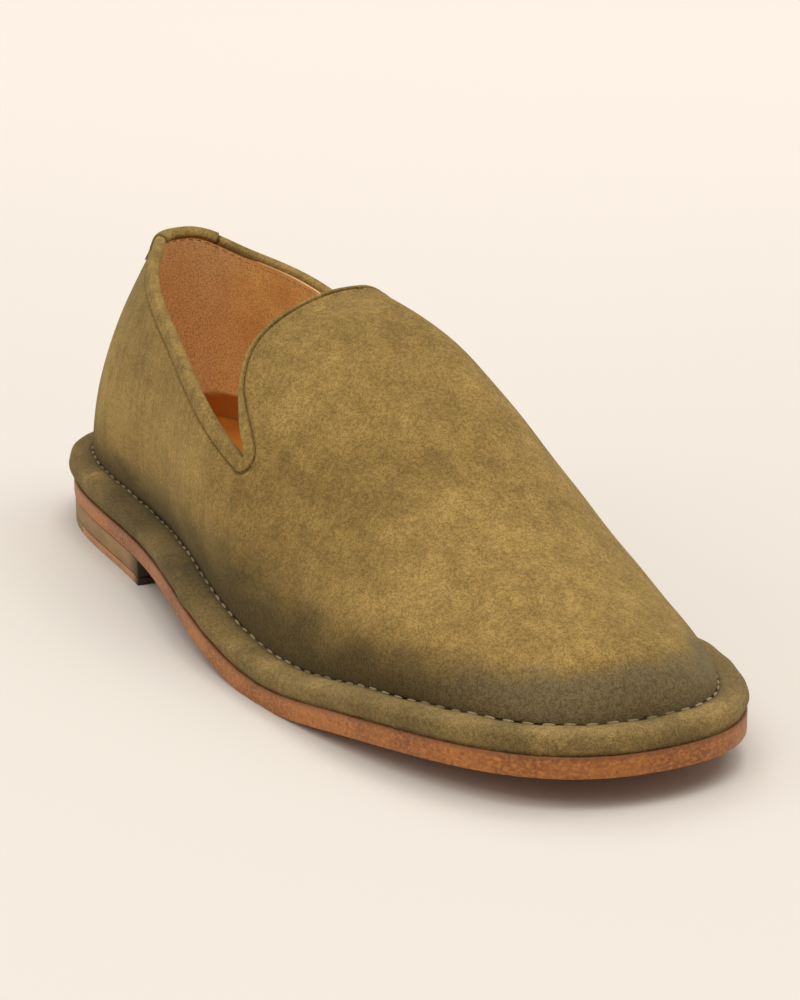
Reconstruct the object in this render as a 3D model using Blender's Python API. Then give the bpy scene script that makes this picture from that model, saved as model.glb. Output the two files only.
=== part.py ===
"""Suede slip-on loafer, right shoe: leather sole and heel, covered midsole, insole and hollow upper.

Toe towards +X, big-toe side towards +Y, floor at z = 0. Sizes below are in millimetres and are turned
into metres where a mesh is made.
"""

import bmesh
import bpy
import numpy as np

MM = 0.001
WELD = 1e-6
TINY = 1e-6
SHARP_ANGLE = 35.0
GAP = 0.3                  # air left where two pieces meet

# Outer sole
SOLE_LENGTH = 290.0
CENTRE_ALONG = 144.5       # from the heel back to the middle of the shoe's box
CENTRE_ACROSS = -0.4       # from the sole's centre line to the middle of the shoe's box

# Heel under the outer sole
HEEL_BREAST = 86.0         # from the heel back to the straight front face
HEEL_SETBACK = 0.3         # heel stands this far inside the sole edge
TOP_PIECE_THICK = 2.0
QUARTER_FRONT = 33.0       # rubber quarter reaches this far forward

# Covered midsole and its padded rim
RIM_CREST = 0.3            # rim rises this far above the crease
RIM_UNDER = 0.8            # rim's foot stands this far inside the sole edge
RIM_SWELL = 0.6            # share of the puff that the low part of the rim has
RIM_LOW = 0.45             # height of that low part, as a share of the widest part's height
RIM_ROUND = 0.75           # under 1 gives the crest a fuller round

# Upper
WALL = 2.2
FAN_CENTRE = 61.0          # heel ribs fan round this point of the last
FAN_BLEND = 25.0
TOE_BLEND = 0.15           # last share of the stations, where the ridge turns down into the toe
BULGE_LOW = 0.8            # under 1 keeps the side bulges low on the last
HEEL_TOP = 81.4            # collar height at the heel back
TONGUE_TOP = 0.449         # station of the tongue's highest point
TONGUE_FADE = 1.7          # how soon the tongue's overhang dies out towards its top
NOTCH_BACK = 0.03          # ribs that fan from the notch reach this far back on the feather edge
NOTCH_AHEAD = 0.01         # and this far ahead of the tongue's slant
TONGUE_FLARE = 0.08        # ribs from the tongue spread this far on the feather edge

# Insole
INSOLE_THICK = 2.6
INSOLE_CLEAR = 1.9

# Sole outline: half widths at even steps of the half turn that runs from the heel back to the toe
OUTLINE_COLUMNS = ("outer_side", "inner_side")
OUTLINE = (
    (0.0, 0.0),
    (22.8, 23.8),
    (32.5, 33.3),
    (38.0, 33.0),
    (48.5, 35.0),
    (49.5, 49.0),
    (42.8, 43.8),
    (27.5, 28.8),
    (0.0, 0.0),
)

# Height of the outer sole's top face (heel seat, shank, tread and toe spring) and thickness of its leather
PROFILE_COLUMNS = ("along", "height", "thickness")
PROFILE = (
    (0.0, 12.6, 4.5),
    (30.0, 12.1, 4.5),
    (65.0, 11.9, 4.5),
    (95.0, 12.0, 4.5),
    (124.0, 11.6, 4.6),
    (154.0, 8.0, 5.0),
    (176.0, 5.3, 5.4),
    (192.0, 5.0, 5.4),
    (218.0, 8.0, 5.3),
    (254.0, 11.4, 5.2),
    (290.0, 13.0, 5.2),
)

# Crease where the upper meets the rim: distance in from the sole edge and height over the sole. The rim
# puffs out past the leather edge, most at the heel.
CREASE_COLUMNS = ("along", "inset", "rise", "puff")
CREASE = (
    (0.0, 5.6, 7.6, 1.2),
    (60.0, 6.6, 6.4, 1.0),
    (145.0, 7.4, 5.2, 0.6),
    (290.0, 7.2, 5.4, 0.2),
)

# The last over the sole. Station 0 is the heel back and 1 the toe tip; the ridge runs on over the open
# collar as a guide. Fullness 2 is an ellipse; the bulges push the sides out past it.
LAST_COLUMNS = ("station", "ridge_height", "ridge_across", "fullness", "outer_bulge", "inner_bulge")
LAST = (
    (0.00, 115.0, 12.0, 1.50, 1.9, 1.9),
    (0.25, 107.0, 10.6, 1.70, 3.0, 8.8),
    (0.42, 85.7, 7.5, 2.66, 2.8, 10.0),
    (0.54, 77.8, 12.3, 1.89, 1.6, 5.2),
    (0.66, 53.0, 7.4, 1.73, 1.5, 0.4),
    (0.80, 36.4, 2.7, 1.66, 0.9, 0.6),
    (0.91, 29.6, 0.4, 1.65, 0.4, 0.4),
    (1.00, 18.4, 0.0, 1.65, 0.0, 0.0),
)

# Collar edge from the heel to the bottom of the V notch, as a share of the way, with its height
COLLAR_COLUMNS = ("share", "outer_height", "inner_height")
COLLAR = (
    (0.0, HEEL_TOP, HEEL_TOP),
    (0.2, 81.3, 78.8),
    (0.4, 80.9, 74.9),
    (0.75, 66.1, 65.6),
    (1.0, 50.5, 43.0),
)

# Bottom of the V notch on each side, and how far the tongue leans back over it
NOTCH = {
    "outer": {"station": 0.509, "overhang": 0.077},
    "inner": {"station": 0.483, "overhang": 0.072},
}

# Mesh steps
COLLAR_STEPS = 20
NOTCH_STEPS = 5
TONGUE_STEPS = 12
FRONT_STEPS = 18
RIB_STEPS = 13
SOLE_STEPS = 44
RIM_STEPS = 7
HEEL_STEPS = 18
TOP_PIECE_STEPS = 12
QUARTER_STEPS = 10

SIDES = {"outer": -1.0, "inner": 1.0}


def column(table, names, name):
    """One named column of a table, as numbers."""
    return np.array([row[names.index(name)] for row in table])


def smooth_curve(knots, values, at):
    """Cubic curve through the given points, with no corner at the second and last but one."""
    count = len(knots)
    step = np.diff(knots)
    slope = np.diff(values) / step
    matrix = np.zeros((count, count))
    right = np.zeros(count)
    for row in range(1, count - 1):
        matrix[row, row - 1] = step[row - 1]
        matrix[row, row] = 2.0 * (step[row - 1] + step[row])
        matrix[row, row + 1] = step[row]
        right[row] = 6.0 * (slope[row] - slope[row - 1])
    matrix[0, :3] = step[1], -(step[0] + step[1]), step[0]
    matrix[-1, -3:] = step[-1], -(step[-2] + step[-1]), step[-2]
    bend = np.linalg.solve(matrix, right)
    at = np.asarray(at, dtype=float)
    place = np.clip(np.searchsorted(knots, at) - 1, 0, count - 2)
    width = step[place]
    ahead = (knots[place + 1] - at) / width
    behind = 1.0 - ahead
    line = ahead * values[place] + behind * values[place + 1]
    curl = (ahead ** 3 - ahead) * bend[place] + (behind ** 3 - behind) * bend[place + 1]
    return line + curl * width ** 2 / 6.0


def even_curve(knots, values, at):
    """Smooth curve that is level at zero, so that both sides of the heel run into one another."""
    mirrored = np.concatenate((-knots[:0:-1], knots))
    return smooth_curve(mirrored, np.concatenate((values[:0:-1], values)), at)


def along_at(station):
    """Distance from the heel back at a station, close together at both ends."""
    return SOLE_LENGTH * (1.0 - np.cos(np.pi * station)) / 2.0


def sole_value(along, name):
    """Value of the outer sole's profile at a distance from the heel back."""
    knots = column(PROFILE, PROFILE_COLUMNS, "along")
    return smooth_curve(knots, column(PROFILE, PROFILE_COLUMNS, name), along)


def sole_height(along):
    """Height of the outer sole's top face."""
    return sole_value(along, "height")


def crease_size(along, name):
    """Inset, rise or puff of the rim at a distance from the heel."""
    knots = column(CREASE, CREASE_COLUMNS, "along")
    return even_curve(knots, column(CREASE, CREASE_COLUMNS, name), along)


def half_width(station, side):
    """Sole half width at a station, on one side."""
    values = column(OUTLINE, OUTLINE_COLUMNS, side + "_side")
    return smooth_curve(np.linspace(0.0, 1.0, len(values)), values, station)


def edge_point(station, side, inset):
    """Point of the sole edge moved square inwards: distance along and across."""
    nudge = 1e-4
    low = np.clip(station - nudge, 0.0, 1.0)
    high = np.clip(station + nudge, 0.0, 1.0)
    run_along = along_at(high) - along_at(low)
    run_across = half_width(high, side) - half_width(low, side)
    at_end = (station < nudge) | (station > 1.0 - nudge)
    run_along = np.where(at_end, 0.0, run_along)
    length = np.hypot(run_along, run_across)
    along = along_at(station) + inset * run_across / length
    across = half_width(station, side) - inset * run_along / length
    return along, SIDES[side] * np.where(at_end, 0.0, across)


def feather_point(station, side, inset):
    """Lower edge of the upper, in the crease, moved in by an extra inset."""
    reach = crease_size(along_at(station), "inset") + inset
    along, across = edge_point(station, side, reach)
    return along, across, sole_height(along) + crease_size(along, "rise")


def last_value(station, name):
    """One column of the last's table at a station."""
    return even_curve(column(LAST, LAST_COLUMNS, "station"), column(LAST, LAST_COLUMNS, name), station)


def fan_shift(along):
    """Forward shift of a ridge point: behind the fan's centre it moves up to the centre."""
    behind = FAN_CENTRE - along
    return 0.5 * (np.hypot(behind, FAN_BLEND) + behind)


def rib_ends(station, side, inset):
    """Feather point and ridge point of one rib of the last."""
    along, across, height = feather_point(station, side, inset)
    back = crease_size(0.0, "inset") + inset
    front = SOLE_LENGTH - crease_size(SOLE_LENGTH, "inset") - inset
    middle = back + (front - back) * along_at(station) / SOLE_LENGTH
    fade = np.sin(0.5 * np.pi * np.clip((1.0 - station) / TOE_BLEND, 0.0, 1.0))
    toe_height = feather_point(np.array(1.0), side, inset)[2]
    drop = inset * fade + (last_value(1.0, "ridge_height") - toe_height) * (1.0 - fade)
    ridge = (
        middle + fan_shift(middle) - fan_shift(front) * station,
        last_value(station, "ridge_across"),
        last_value(station, "ridge_height") - drop,
    )
    return (along, across, height), ridge


def last_point(station, climb, side, inset):
    """Point of the last's surface. Climb 0 is the feather edge and 1 the ridge."""
    foot, ridge = rib_ends(station, side, inset)
    power = 2.0 / last_value(station, "fullness")
    turn = 0.5 * np.pi * climb
    inward = 1.0 - np.clip(np.cos(turn), 0.0, 1.0) ** power
    upward = np.clip(np.sin(turn), 0.0, 1.0) ** power
    reach_along = foot[0] - ridge[0]
    reach_across = foot[1] - ridge[1]
    length = np.hypot(reach_along, reach_across) + TINY
    bulge = last_value(station, side + "_bulge") * np.sin(np.pi * upward ** BULGE_LOW) / length
    return np.stack((
        foot[0] + reach_along * (bulge - inward),
        foot[1] + reach_across * (bulge - inward),
        foot[2] + (ridge[2] - foot[2]) * upward,
    ), axis=-1)


def climb_at_height(station, height, side, inset):
    """Climb at which a rib reaches a height."""
    foot, ridge = rib_ends(station, side, inset)
    share = np.clip((height - foot[2]) / (ridge[2] - foot[2]), 0.0, 1.0)
    return np.arcsin(share ** (last_value(station, "fullness") / 2.0)) * 2.0 / np.pi


def top_edge(side, inset):
    """Stations and climbs of the upper's top edge: collar, fan round the notch, tongue, then the ridge."""
    notch = NOTCH[side]["station"]
    share = np.linspace(0.0, 1.0, COLLAR_STEPS + 1)
    heights = even_curve(
        column(COLLAR, COLLAR_COLUMNS, "share"), column(COLLAR, COLLAR_COLUMNS, side + "_height"), share)
    collar = share * notch
    collar_climb = climb_at_height(collar, heights, side, inset)
    rise = np.linspace(0.0, 1.0, TONGUE_STEPS + 1)[1:]
    tongue = notch + (TONGUE_TOP - notch) * rise ** 2 * (3.0 - 2.0 * rise)
    tongue = tongue - NOTCH[side]["overhang"] * np.sin(np.pi * rise) * (1.0 - rise) ** TONGUE_FADE
    tongue_climb = collar_climb[-1] + (1.0 - collar_climb[-1]) * rise
    front = np.linspace(TONGUE_TOP, 1.0, FRONT_STEPS + 1)[1:]
    stations = np.concatenate((collar, np.full(NOTCH_STEPS, notch), tongue, front))
    climbs = np.concatenate((
        collar_climb, np.full(NOTCH_STEPS, collar_climb[-1]), tongue_climb, np.ones(FRONT_STEPS)))
    return stations, climbs


def foot_stations(side, notch_climb):
    """Feather ends of the ribs. Those of the tongue start ahead of the line that its edge points along."""
    notch = NOTCH[side]["station"]
    slant = np.pi * NOTCH[side]["overhang"] / (1.0 - notch_climb)
    back = notch - NOTCH_BACK
    brow = notch + slant * notch_climb + NOTCH_AHEAD
    front = brow + TONGUE_FLARE
    return np.concatenate((
        np.linspace(0.0, back, COLLAR_STEPS + 1),
        np.linspace(back, brow, NOTCH_STEPS + 1)[1:],
        np.linspace(brow, front, TONGUE_STEPS + 1)[1:],
        np.linspace(front, 1.0, FRONT_STEPS + 1)[1:],
    ))


def upper_grid(side, inset):
    """Points of one side of the upper, in ribs from the feather edge to the top edge."""
    top_station, top_climb = top_edge(side, inset)
    foot_station = foot_stations(side, top_climb[COLLAR_STEPS])
    share = np.linspace(0.0, 1.0, RIB_STEPS + 1)
    station = foot_station[:, None] + (top_station - foot_station)[:, None] * share
    climb = top_climb[:, None] * share
    return last_point(station, climb, side, inset)


def grid_faces(columns, rows, start):
    """Four-sided faces of a grid of points stored column by column."""
    faces = []
    for left in range(columns - 1):
        for low in range(rows - 1):
            corner = start + left * rows + low
            faces.append((corner, corner + rows, corner + rows + 1, corner + 1))
    return faces


def make_material(name, color, roughness):
    material = bpy.data.materials.new(name)
    material.use_nodes = True
    shader = material.node_tree.nodes["Principled BSDF"]
    shader.inputs["Base Color"].default_value = (*color, 1.0)
    shader.inputs["Roughness"].default_value = roughness
    shader.inputs["Metallic"].default_value = 0.0
    return material


def make_object(name, points, faces, material):
    """Closed mesh object from points in millimetres; coincident points are welded."""
    shift = np.array((CENTRE_ALONG, CENTRE_ACROSS, 0.0))
    places = (np.asarray(points) - shift) * MM
    build = bmesh.new()
    corners = [build.verts.new(place) for place in places]
    for face in faces:
        build.faces.new([corners[index] for index in face])
    bmesh.ops.remove_doubles(build, verts=build.verts, dist=WELD)
    bmesh.ops.dissolve_degenerate(build, edges=build.edges, dist=WELD)
    bmesh.ops.recalc_face_normals(build, faces=build.faces)
    mesh = bpy.data.meshes.new(name)
    build.to_mesh(mesh)
    build.free()
    mesh.shade_smooth()
    mesh.set_sharp_from_angle(angle=np.radians(SHARP_ANGLE))
    mesh.materials.append(material)
    part = bpy.data.objects.new(name, mesh)
    bpy.context.scene.collection.objects.link(part)
    return part


def make_upper(material):
    """Hollow upper: outer and inner skins of the last joined along the feather and top edges."""
    grids = []
    for inset in (0.0, WALL):
        for side in SIDES:
            grids.append(upper_grid(side, inset))
    columns, rows = grids[0].shape[:2]
    size = columns * rows
    points = np.concatenate([grid.reshape(-1, 3) for grid in grids])
    faces = []
    for index in range(len(grids)):
        faces += grid_faces(columns, rows, index * size)
    top_columns = COLLAR_STEPS + NOTCH_STEPS + TONGUE_STEPS
    for side_index in range(2):
        outer = side_index * size
        inner = (side_index + 2) * size
        for left in range(columns - 1):
            here = left * rows
            there = here + rows
            faces.append((outer + here, outer + there, inner + there, inner + here))
            if left < top_columns:
                high = rows - 1
                faces.append((outer + here + high, outer + there + high,
                              inner + there + high, inner + here + high))
    return make_object("upper", points, faces, material)


def make_plate(name, material, stations, inset, low, high):
    """Plate with the sole's outline between two height functions of the distance along."""
    points = []
    for height in (low, high):
        for side in SIDES:
            along, across = edge_point(stations, side, inset)
            points.append(np.stack((along, across, height(along)), axis=-1))
    count = len(stations)
    faces = []
    for left in range(count - 1):
        right = left + 1
        low_outer, low_inner, high_outer, high_inner = (index * count for index in range(4))
        faces.append((low_outer + left, low_outer + right, low_inner + right, low_inner + left))
        faces.append((high_outer + left, high_outer + right, high_inner + right, high_inner + left))
        faces.append((low_outer + left, low_outer + right, high_outer + right, high_outer + left))
        faces.append((low_inner + left, low_inner + right, high_inner + right, high_inner + left))
    for end in (0, count - 1):
        faces.append((end, count + end, 3 * count + end, 2 * count + end))
    return make_object(name, np.concatenate(points), faces, material)


def tread(along):
    """Underside of the outer sole, flat on the floor under the ball of the foot."""
    return np.maximum(sole_height(along) - sole_value(along, "thickness"), 0.0)


def station_at(along):
    """Station at a distance from the heel back."""
    return np.arccos(1.0 - 2.0 * along / SOLE_LENGTH) / np.pi


def make_outsole(material):
    return make_plate("outsole", material, np.linspace(0.0, 1.0, SOLE_STEPS + 1), 0.0, tread, sole_height)


def make_heel(lift_material, leather_material, rubber_material):
    """Heel: stacked lift under the sole, and a top piece on the floor with a rubber quarter behind."""
    breast = station_at(HEEL_BREAST)
    quarter = station_at(QUARTER_FRONT)
    seam = station_at(QUARTER_FRONT + GAP)

    def floor(along):
        return np.zeros_like(along)

    def top_of_piece(along):
        return np.full_like(along, TOP_PIECE_THICK)

    def under_lift(along):
        return np.full_like(along, TOP_PIECE_THICK + GAP)

    def under_sole(along):
        return tread(along) - GAP

    lift_stations = np.linspace(0.0, breast, HEEL_STEPS + 1)
    piece_stations = np.linspace(seam, breast, TOP_PIECE_STEPS + 1)
    quarter_stations = np.linspace(0.0, quarter, QUARTER_STEPS + 1)
    make_plate("heel_lift", lift_material, lift_stations, HEEL_SETBACK, under_lift, under_sole)
    make_plate("top_piece", leather_material, piece_stations, HEEL_SETBACK, floor, top_of_piece)
    make_plate("heel_quarter", rubber_material, quarter_stations, HEEL_SETBACK, floor, top_of_piece)


def rim_profile(inset, rise, puff):
    """Section of the midsole's rim: distance in from the sole edge and height over the sole."""
    corner = inset - GAP
    seat = rise - GAP
    crest = rise + RIM_CREST
    turn = np.linspace(0.0, np.pi, RIM_STEPS + 1)
    middle = 0.5 * (corner - puff)
    reach = 0.5 * (corner + puff)
    arc_in = middle - reach * np.cos(turn)
    lift = np.clip(np.sin(turn), 0.0, 1.0) ** RIM_ROUND
    widest = 0.5 * crest
    start = np.where(turn < 0.5 * np.pi, widest, seat)
    arc_up = start + (crest - start) * lift
    low_in = RIM_UNDER - RIM_SWELL * (RIM_UNDER + puff)
    inward = np.concatenate(([RIM_UNDER, low_in], arc_in))
    upward = np.concatenate(([GAP, RIM_LOW * widest], arc_up))
    return inward, upward


def make_midsole(material):
    """Covered midsole: padded rim round a flat seat for the upper and the insole."""
    stations = np.linspace(0.0, 1.0, SOLE_STEPS + 1)
    along = along_at(stations)
    sizes = [crease_size(along, name) for name in ("inset", "rise", "puff")]
    sections = [rim_profile(*size) for size in zip(*sizes)]
    rows = len(sections[0][0])
    grids = []
    for side in SIDES:
        grid = np.zeros((len(stations), rows, 3))
        for row in range(rows):
            inset = np.array([section[0][row] for section in sections])
            over = np.array([section[1][row] for section in sections])
            at, across = edge_point(stations, side, inset)
            grid[:, row] = np.stack((at, across, sole_height(at) + over), axis=-1)
        grids.append(grid)
    count = len(stations)
    size = count * rows
    faces = grid_faces(count, rows, 0) + grid_faces(count, rows, size)
    for left in range(count - 1):
        for row in (0, rows - 1):
            here = left * rows + row
            there = here + rows
            faces.append((here, there, size + there, size + here))
    return make_object("midsole", np.concatenate([grid.reshape(-1, 3) for grid in grids]), faces, material)


def make_insole(material):
    """Insole inside the upper, on the midsole's seat."""
    stations = np.linspace(0.0, 1.0, SOLE_STEPS + 1)
    inset = crease_size(along_at(stations), "inset") + WALL + INSOLE_CLEAR

    def seat(along):
        return sole_height(along) + crease_size(along, "rise")

    def face(along):
        return seat(along) + INSOLE_THICK

    return make_plate("insole", material, stations, inset, seat, face)


def main():
    for old in list(bpy.data.objects):
        bpy.data.objects.remove(old)
    suede = make_material("olive_suede", (0.20, 0.145, 0.055), 0.95)
    rim_suede = make_material("rim_suede", (0.13, 0.10, 0.05), 0.95)
    sole_leather = make_material("sole_leather", (0.50, 0.20, 0.08), 0.6)
    lift_leather = make_material("lift_leather", (0.22, 0.14, 0.06), 0.7)
    rubber = make_material("quarter_rubber", (0.20, 0.14, 0.07), 0.8)
    insole_leather = make_material("insole_leather", (0.25, 0.09, 0.02), 0.6)
    make_upper(suede)
    make_midsole(rim_suede)
    make_outsole(sole_leather)
    make_heel(lift_leather, sole_leather, rubber)
    make_insole(insole_leather)


main()
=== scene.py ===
# %% [markdown]
# # A suede slip-on loafer
# The real shoe is suede pulled over a last, sewn to a padded rim and stood on a leather sole with a low
# heel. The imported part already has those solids, so this lesson dresses them: each step lays one piece of
# the real shoe over its solid and gives it the finish that the eye expects.

import bpy
import numpy as np
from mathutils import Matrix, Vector


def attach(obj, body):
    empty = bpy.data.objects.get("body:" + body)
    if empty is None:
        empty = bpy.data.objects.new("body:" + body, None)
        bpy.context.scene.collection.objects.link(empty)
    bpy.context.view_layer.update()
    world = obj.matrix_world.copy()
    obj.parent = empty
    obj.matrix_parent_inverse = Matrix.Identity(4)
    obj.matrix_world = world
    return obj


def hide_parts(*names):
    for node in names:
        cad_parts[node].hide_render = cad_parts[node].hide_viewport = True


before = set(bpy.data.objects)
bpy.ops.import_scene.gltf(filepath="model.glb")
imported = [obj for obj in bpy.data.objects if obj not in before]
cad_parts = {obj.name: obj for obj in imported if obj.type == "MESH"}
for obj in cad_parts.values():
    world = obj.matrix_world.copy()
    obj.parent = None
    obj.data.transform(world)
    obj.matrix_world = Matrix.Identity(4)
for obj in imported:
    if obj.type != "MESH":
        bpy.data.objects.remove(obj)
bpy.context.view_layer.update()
bpy.ops.object.select_all(action="DESELECT")
print("nodes of the part:", ", ".join(sorted(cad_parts)))

# %% [markdown]
# ## The last, as numbers
# A shoemaker starts from a last: a wooden foot with a sole outline, a profile and a few cross sections.
# The same short tables drive the solid part. A finer mesh over the same last could be had by subdividing
# the solid, but its triangles would show as facets and would forget where the collar and the crease are.
# Working from the tables keeps both. All sizes are in millimetres.

# %% Sizes of the shoe
MM = 0.001
TINY = 1e-6
CENTRE = np.array((144.5, -0.4, 0.0))
SOLE_LENGTH = 290.0
HEEL_BREAST = 86.0
WALL = 2.2
FAN_CENTRE = 61.0
FAN_BLEND = 25.0
TOE_BLEND = 0.15
BULGE_LOW = 0.8
TONGUE_TOP = 0.449
TONGUE_FADE = 1.7
NOTCH_BACK = 0.03
NOTCH_AHEAD = 0.01
TONGUE_FLARE = 0.08
SIDES = {"outer": -1.0, "inner": 1.0}
OUTLINE = {
    "outer": (0.0, 22.8, 32.5, 38.0, 48.5, 49.5, 42.8, 27.5, 0.0),
    "inner": (0.0, 23.8, 33.3, 33.0, 35.0, 49.0, 43.8, 28.8, 0.0),
}
PROFILE = {
    "along": (0.0, 30.0, 65.0, 95.0, 124.0, 154.0, 176.0, 192.0, 218.0, 254.0, 290.0),
    "height": (12.6, 12.1, 11.9, 12.0, 11.6, 8.0, 5.3, 5.0, 8.0, 11.4, 13.0),
    "thickness": (4.5, 4.5, 4.5, 4.5, 4.6, 5.0, 5.4, 5.4, 5.3, 5.2, 5.2),
}
CREASE = {
    "along": (0.0, 60.0, 145.0, 290.0),
    "inset": (5.6, 6.6, 7.4, 7.2),
    "rise": (7.6, 6.4, 5.2, 5.4),
    "puff": (1.2, 1.0, 0.6, 0.2),
}
LAST = {
    "station": (0.0, 0.25, 0.42, 0.54, 0.66, 0.80, 0.91, 1.0),
    "ridge_height": (115.0, 107.0, 85.7, 77.8, 53.0, 36.4, 29.6, 18.4),
    "ridge_across": (12.0, 10.6, 7.5, 12.3, 7.4, 2.7, 0.4, 0.0),
    "fullness": (1.50, 1.70, 2.66, 1.89, 1.73, 1.66, 1.65, 1.65),
    "outer_bulge": (1.9, 3.0, 2.8, 1.6, 1.5, 0.9, 0.4, 0.0),
    "inner_bulge": (1.9, 8.8, 10.0, 5.2, 0.4, 0.6, 0.4, 0.0),
}
COLLAR = {
    "share": (0.0, 0.2, 0.4, 0.75, 1.0),
    "outer": (81.4, 81.3, 80.9, 66.1, 50.5),
    "inner": (81.4, 78.8, 74.9, 65.6, 43.0),
}
NOTCH = {"outer": 0.509, "inner": 0.483}
OVERHANG = {"outer": 0.077, "inner": 0.072}
print("sole", SOLE_LENGTH, "mm long, walls", WALL, "mm thick")


# %% Smooth curves through the tables
def smooth_curve(knots, values, at):
    """Cubic curve through the given points, with no corner at the second and last but one."""
    knots = np.asarray(knots, dtype=float)
    values = np.asarray(values, dtype=float)
    count = len(knots)
    step = np.diff(knots)
    slope = np.diff(values) / step
    matrix = np.zeros((count, count))
    right = np.zeros(count)
    for row in range(1, count - 1):
        matrix[row, row - 1] = step[row - 1]
        matrix[row, row] = 2.0 * (step[row - 1] + step[row])
        matrix[row, row + 1] = step[row]
        right[row] = 6.0 * (slope[row] - slope[row - 1])
    matrix[0, :3] = step[1], -(step[0] + step[1]), step[0]
    matrix[-1, -3:] = step[-1], -(step[-2] + step[-1]), step[-2]
    bend = np.linalg.solve(matrix, right)
    at = np.asarray(at, dtype=float)
    place = np.clip(np.searchsorted(knots, at) - 1, 0, count - 2)
    width = step[place]
    ahead = (knots[place + 1] - at) / width
    behind = 1.0 - ahead
    line = ahead * values[place] + behind * values[place + 1]
    curl = (ahead ** 3 - ahead) * bend[place] + (behind ** 3 - behind) * bend[place + 1]
    return line + curl * width ** 2 / 6.0


def even_curve(knots, values, at):
    """Smooth curve that is level at zero, so that both sides of the heel run into one another."""
    mirrored = [-knot for knot in knots[:0:-1]] + list(knots)
    return smooth_curve(mirrored, list(values[:0:-1]) + list(values), at)


def ease(low, high, value):
    """Soft step from 0 at low to 1 at high."""
    share = np.clip((value - low) / (high - low), 0.0, 1.0)
    return share * share * (3.0 - 2.0 * share)


def hump(distance, at, width):
    """Soft hump of height 1 at a distance."""
    return np.exp(-((distance - at) / width) ** 2)


def unit(vectors):
    """The same vectors with a length of one."""
    return vectors / (np.linalg.norm(vectors, axis=-1, keepdims=True) + TINY)


def distance_along(line):
    """Distance from the first point of a line to each of its points."""
    return np.concatenate(([0.0], np.cumsum(np.linalg.norm(np.diff(line, axis=0), axis=1))))


def named_rows(columns, rows):
    """Rows of a table, with each value under the name of its column."""
    return [dict(zip(columns, row)) for row in rows]


def side_rows(columns, outer, inner):
    """Named rows of both sides of the shoe."""
    return [{"side": side, **row}
            for side, rows in (("outer", outer), ("inner", inner)) for row in named_rows(columns, rows)]


# %% The surface of the last
def along_at(station):
    """Distance from the heel back at a station, close together at both ends."""
    return SOLE_LENGTH * (1.0 - np.cos(np.pi * station)) / 2.0


def sole_value(along, name):
    return smooth_curve(PROFILE["along"], PROFILE[name], along)


def sole_height(along):
    return sole_value(along, "height")


def crease_size(along, name):
    return even_curve(CREASE["along"], CREASE[name], along)


def half_width(station, side):
    return smooth_curve(np.linspace(0.0, 1.0, len(OUTLINE[side])), OUTLINE[side], station)


def edge_point(station, side, inset):
    """Point of the sole edge moved square inwards: distance along and across."""
    nudge = 1e-4
    low = np.clip(station - nudge, 0.0, 1.0)
    high = np.clip(station + nudge, 0.0, 1.0)
    at_end = (station < nudge) | (station > 1.0 - nudge)
    run_along = np.where(at_end, 0.0, along_at(high) - along_at(low))
    run_across = half_width(high, side) - half_width(low, side)
    length = np.hypot(run_along, run_across)
    along = along_at(station) + inset * run_across / length
    across = half_width(station, side) - inset * run_along / length
    return along, SIDES[side] * np.where(at_end, 0.0, across)


def feather_point(station, side, inset):
    """Lower edge of the upper, in the crease of the rim."""
    along, across = edge_point(station, side, crease_size(along_at(station), "inset") + inset)
    return along, across, sole_height(along) + crease_size(along, "rise")


def last_value(station, name):
    return even_curve(LAST["station"], LAST[name], station)


def fan_shift(along):
    behind = FAN_CENTRE - along
    return 0.5 * (np.hypot(behind, FAN_BLEND) + behind)


def rib_ends(station, side, inset):
    """Feather point and ridge point of one rib of the last."""
    along, across, height = feather_point(station, side, inset)
    back = crease_size(0.0, "inset") + inset
    front = SOLE_LENGTH - crease_size(SOLE_LENGTH, "inset") - inset
    middle = back + (front - back) * along_at(station) / SOLE_LENGTH
    fade = np.sin(0.5 * np.pi * np.clip((1.0 - station) / TOE_BLEND, 0.0, 1.0))
    toe_height = feather_point(np.array(1.0), side, inset)[2]
    drop = inset * fade + (last_value(1.0, "ridge_height") - toe_height) * (1.0 - fade)
    ridge_along = middle + fan_shift(middle) - fan_shift(front) * station
    ridge = (ridge_along, last_value(station, "ridge_across"), last_value(station, "ridge_height") - drop)
    return (along, across, height), ridge


def last_point(station, climb, side, inset):
    """Point of the last's surface. Climb 0 is the feather edge and 1 the ridge."""
    foot, ridge = rib_ends(station, side, inset)
    power = 2.0 / last_value(station, "fullness")
    turn = 0.5 * np.pi * climb
    inward = 1.0 - np.clip(np.cos(turn), 0.0, 1.0) ** power
    upward = np.clip(np.sin(turn), 0.0, 1.0) ** power
    reach_along = foot[0] - ridge[0]
    reach_across = foot[1] - ridge[1]
    length = np.hypot(reach_along, reach_across) + TINY
    bulge = last_value(station, side + "_bulge") * np.sin(np.pi * upward ** BULGE_LOW) / length
    return np.stack((
        foot[0] + reach_along * (bulge - inward),
        foot[1] + reach_across * (bulge - inward),
        foot[2] + (ridge[2] - foot[2]) * upward,
    ), axis=-1)


def climb_at_height(station, height, side, inset):
    foot, ridge = rib_ends(station, side, inset)
    share = np.clip((height - foot[2]) / (ridge[2] - foot[2]), 0.0, 1.0)
    return np.arcsin(share ** (last_value(station, "fullness") / 2.0)) * 2.0 / np.pi


BALL_STATION = 0.62
ball_width = sum(half_width(BALL_STATION, side) for side in SIDES)
print("ball of the foot is", round(float(ball_width)), "mm wide")

# %% [markdown]
# ## A sheet laid over the last
# Suede is cut flat and pulled over the last. A grid primitive is just such a flat sheet: it is added with
# one corner for every point, each corner is moved to its place on the last, and the edges that meet are
# merged. The same helper makes every other sewn strip of the shoe.

# %% Helpers for sheets and strips
SHEET_MERGE = 2e-6
NODE_MERGE = 1e-6


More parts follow.
